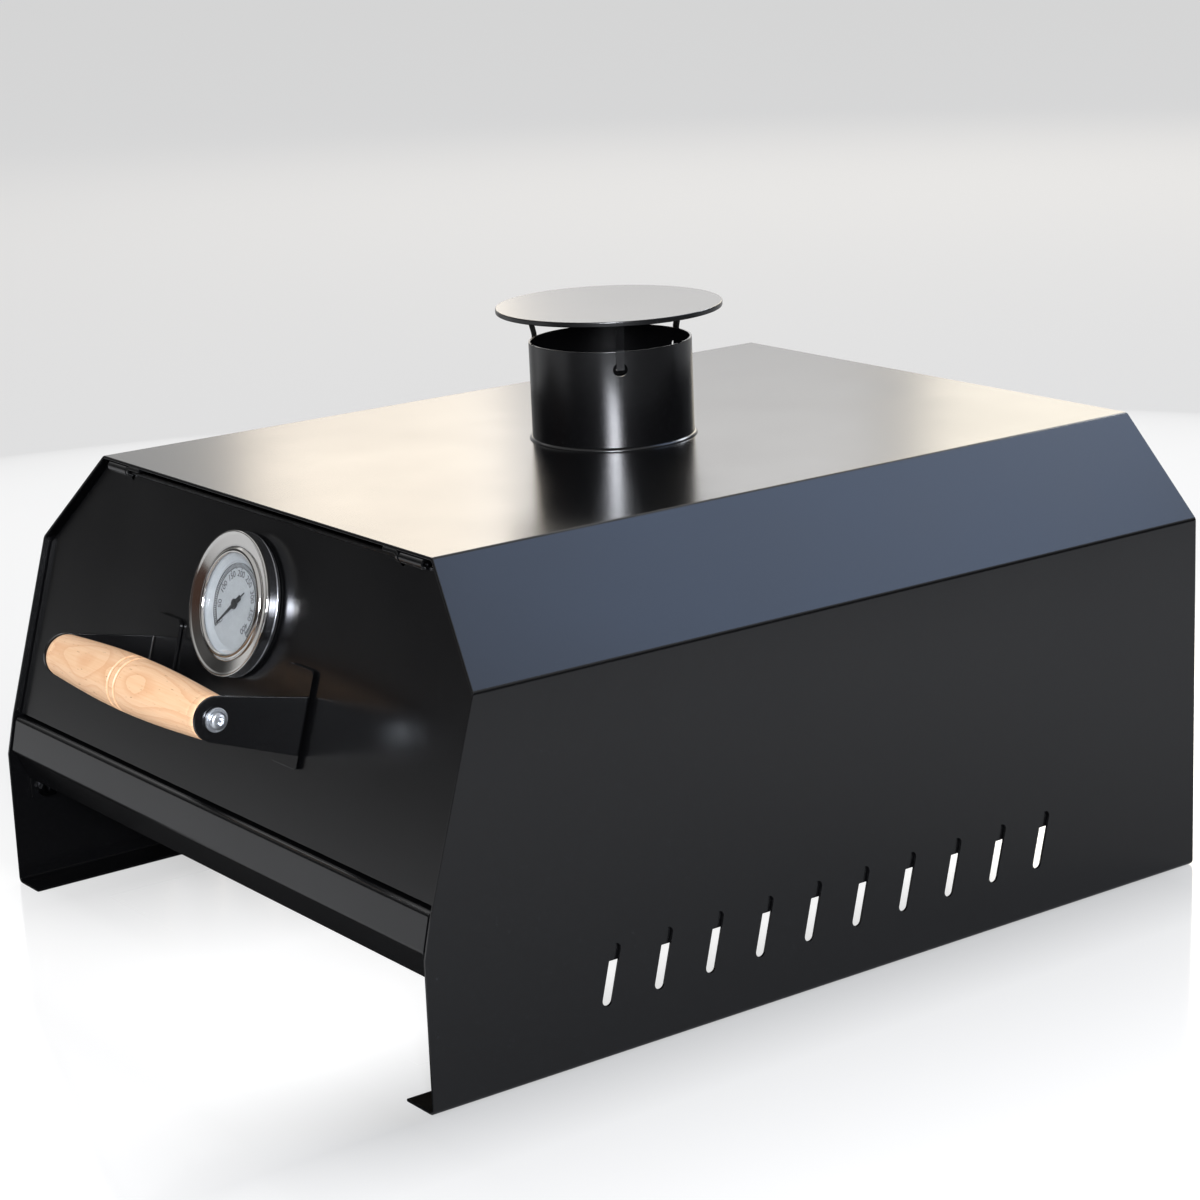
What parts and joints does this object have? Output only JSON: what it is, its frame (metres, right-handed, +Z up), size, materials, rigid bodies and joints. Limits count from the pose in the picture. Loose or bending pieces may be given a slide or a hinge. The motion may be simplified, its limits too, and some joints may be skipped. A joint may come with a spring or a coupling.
{
  "type": "table-top pizza oven",
  "caption": "Folded steel pizza oven hood, open underneath, with side vent slots, a leaning flap door with handle and thermometer, a baking stone, and a capped flue.",
  "frame": {"origin": "on the surface the oven stands on, under the middle of its overall size", "axes": "+X to the right seen from the door, +Y from the door to the rear, +Z up"},
  "size_m": [0.35, 0.4446, 0.262],
  "materials": {
    "black_coat": "satin black heat-proof powder coat with a fine sparkle",
    "chrome": "polished",
    "zinc": "bright zinc plate",
    "dark_zinc": "black zinc plate",
    "beech": "turned light beech, oiled",
    "stone": "matte cordierite ceramic, opaque",
    "dial_paint": "matte pale grey",
    "lens_glass": "clear",
    "needle_paint": "matte black",
    "silicone": "matte black silicone"
  },
  "bodies": {
    "hood": {"hood_shell": "black_coat", "rear_panel": "black_coat", "floor_tray": "black_coat", "stone_rail_front": "black_coat", "stone_rail_rear": "black_coat", "tray_stud_front_left": "dark_zinc", "tray_stud_front_right": "dark_zinc", "tray_stud_rear_left": "dark_zinc", "tray_stud_rear_right": "dark_zinc", "tray_nut_front_left": "dark_zinc", "tray_nut_front_right": "dark_zinc", "tray_nut_rear_left": "dark_zinc", "tray_nut_rear_right": "dark_zinc", "hinge_rod": "dark_zinc", "hinge_ear_left": "black_coat", "hinge_ear_right": "black_coat", "door_stop_left": "black_coat", "door_stop_right": "black_coat", "flue_tube": "black_coat", "flue_bead": "black_coat", "flue_flange": "black_coat", "rain_cap": "black_coat", "cap_strap_1": "black_coat", "cap_strap_2": "black_coat", "cap_strap_3": "black_coat"},
    "door": {"door_panel": "black_coat", "handle_bracket_left": "black_coat", "handle_bracket_right": "black_coat", "handle_grip": "beech", "handle_washer_left": "zinc", "handle_washer_right": "zinc", "handle_bolt_left": "zinc", "handle_bolt_right": "zinc", "thermometer_case": "chrome", "thermometer_gasket": "silicone", "thermometer_dial": "dial_paint", "thermometer_lens": "lens_glass", "thermometer_stem": "zinc", "thermometer_nut": "zinc"},
    "pointer": {"thermometer_pointer": "needle_paint", "thermometer_spindle": "zinc"},
    "stone": {"pizza_stone": "stone"}
  },
  "joints": [
    {"name": "door_hinge", "type": "hinge", "parent": "hood", "child": "door", "pos_m": [0, -0.14868, 0.1992], "axis": [-1, 0, 0], "range_deg": [0, 120]},
    {"name": "pointer_turn", "type": "hinge", "parent": "door", "child": "pointer", "pos_m": [0, -0.15862, 0.16095], "axis": [0, 0.9598, -0.2807], "range_deg": [0, 264]},
    {"name": "stone_lift", "type": "slide", "parent": "hood", "child": "stone", "axis": [0, 0, 1], "range_m": [0, 0.03]}
  ]
}
